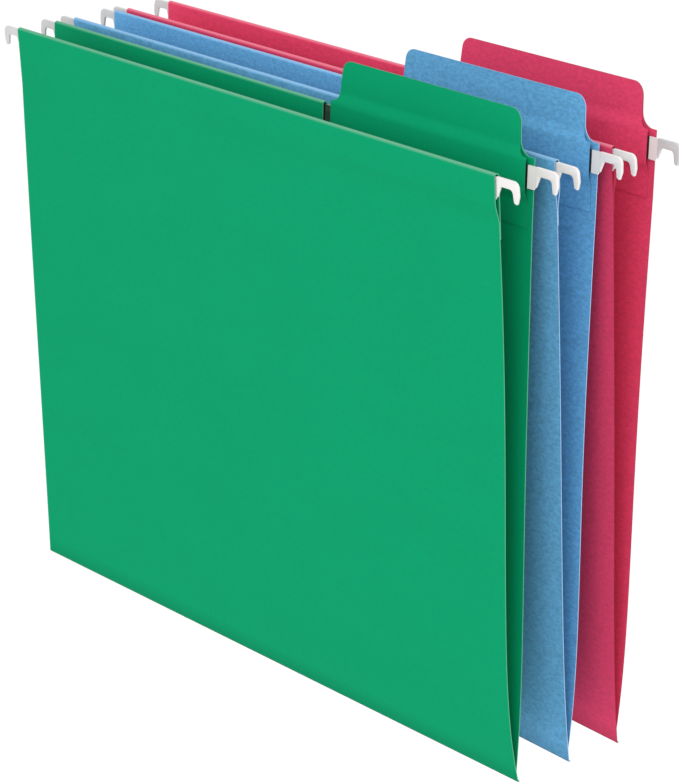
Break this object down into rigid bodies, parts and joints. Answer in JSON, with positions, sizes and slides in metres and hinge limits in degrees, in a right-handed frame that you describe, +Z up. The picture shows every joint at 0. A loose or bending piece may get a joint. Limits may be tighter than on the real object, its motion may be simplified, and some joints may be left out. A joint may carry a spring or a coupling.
{
  "type": "hanging file folders",
  "caption": "Letter-size hanging file folders of coloured heavy paper, each hemmed over flat steel hanger strips with coated hook ends, with a stiffened right-hand tab on the rear leaf.",
  "frame": {"origin": "midway between the two rails that the folders hang on, level with the hook seats, on the rear hanger strip of the middle folder", "axes": "+X across the folders towards the tabs, +Y from the front folder to the back one, +Z up"},
  "size_m": [0.3214, 0.0796, 0.2518],
  "materials": {
    "green_paper": "uncoated heavy paper",
    "blue_paper": "uncoated heavy paper",
    "red_paper": "uncoated heavy paper",
    "steel": "plain strip steel",
    "hook_coat": "smooth off-white coat"
  },
  "bodies": {
    "green_front_hanger": {"green_front_rod": "steel", "green_front_left_hook_coat": "hook_coat", "green_front_right_hook_coat": "hook_coat"},
    "green_front_leaf": {"green_front_leaf": "green_paper"},
    "green_rear_hanger": {"green_rear_rod": "steel", "green_rear_left_hook_coat": "hook_coat", "green_rear_right_hook_coat": "hook_coat"},
    "green_rear_leaf": {"green_rear_leaf": "green_paper", "green_tab_ply": "green_paper"},
    "blue_front_hanger": {"blue_front_rod": "steel", "blue_front_left_hook_coat": "hook_coat", "blue_front_right_hook_coat": "hook_coat"},
    "blue_front_leaf": {"blue_front_leaf": "blue_paper"},
    "blue_rear_hanger": {"blue_rear_rod": "steel", "blue_rear_left_hook_coat": "hook_coat", "blue_rear_right_hook_coat": "hook_coat"},
    "blue_rear_leaf": {"blue_rear_leaf": "blue_paper", "blue_tab_ply": "blue_paper"},
    "red_front_hanger": {"red_front_rod": "steel", "red_front_left_hook_coat": "hook_coat", "red_front_right_hook_coat": "hook_coat"},
    "red_front_leaf": {"red_front_leaf": "red_paper"},
    "red_rear_hanger": {"red_rear_rod": "steel", "red_rear_left_hook_coat": "hook_coat", "red_rear_right_hook_coat": "hook_coat"},
    "red_rear_leaf": {"red_rear_leaf": "red_paper", "red_tab_ply": "red_paper"}
  },
  "joints": [
    {"name": "blue_open", "type": "slide", "parent": "blue_rear_hanger", "child": "blue_front_hanger", "axis": [0, -1, 0], "range_m": [-0.0168, 0.05]},
    {"name": "green_slide", "type": "slide", "parent": "blue_front_hanger", "child": "green_rear_hanger", "axis": [0, -1, 0], "range_m": [-0.0045, 0.06]},
    {"name": "green_open", "type": "slide", "parent": "green_rear_hanger", "child": "green_front_hanger", "axis": [0, -1, 0], "range_m": [-0.0144, 0.05]},
    {"name": "red_slide", "type": "slide", "parent": "blue_rear_hanger", "child": "red_front_hanger", "axis": [0, 1, 0], "range_m": [-0.0013, 0.06]},
    {"name": "red_open", "type": "slide", "parent": "red_front_hanger", "child": "red_rear_hanger", "axis": [0, 1, 0], "range_m": [-0.0178, 0.05]},
    {"name": "green_front_swing", "type": "hinge", "parent": "green_front_hanger", "child": "green_front_leaf", "pos_m": [0, -0.0481, -0.0011], "axis": [1, 0, 0], "range_deg": [-1.85, 6.29]},
    {"name": "green_rear_swing", "type": "hinge", "parent": "green_rear_hanger", "child": "green_rear_leaf", "pos_m": [0, -0.0302, -0.0011], "axis": [1, 0, 0], "range_deg": [-6.29, 1.85]},
    {"name": "blue_front_swing", "type": "hinge", "parent": "blue_front_hanger", "child": "blue_front_leaf", "pos_m": [0, -0.0203, -0.0011], "axis": [1, 0, 0], "range_deg": [-2.15, 6.29]},
    {"name": "blue_rear_swing", "type": "hinge", "parent": "blue_rear_hanger", "child": "blue_rear_leaf", "pos_m": [0, 0, -0.0011], "axis": [1, 0, 0], "range_deg": [-6.29, 2.15]},
    {"name": "red_front_swing", "type": "hinge", "parent": "red_front_hanger", "child": "red_front_leaf", "pos_m": [0, 0.0067, -0.0011], "axis": [1, 0, 0], "range_deg": [-2.27, 6.29]},
    {"name": "red_rear_swing", "type": "hinge", "parent": "red_rear_hanger", "child": "red_rear_leaf", "pos_m": [0, 0.028, -0.0011], "axis": [1, 0, 0], "range_deg": [-6.29, 2.27]}
  ],
  "couplings": [
    {"joint": "green_front_swing", "follows": "green_open", "rad_per_m": 2.1779},
    {"joint": "green_rear_swing", "follows": "green_open", "rad_per_m": -2.1779},
    {"joint": "blue_front_swing", "follows": "blue_open", "rad_per_m": 2.1783},
    {"joint": "blue_rear_swing", "follows": "blue_open", "rad_per_m": -2.1783},
    {"joint": "red_front_swing", "follows": "red_open", "rad_per_m": 2.1785},
    {"joint": "red_rear_swing", "follows": "red_open", "rad_per_m": -2.1785}
  ]
}
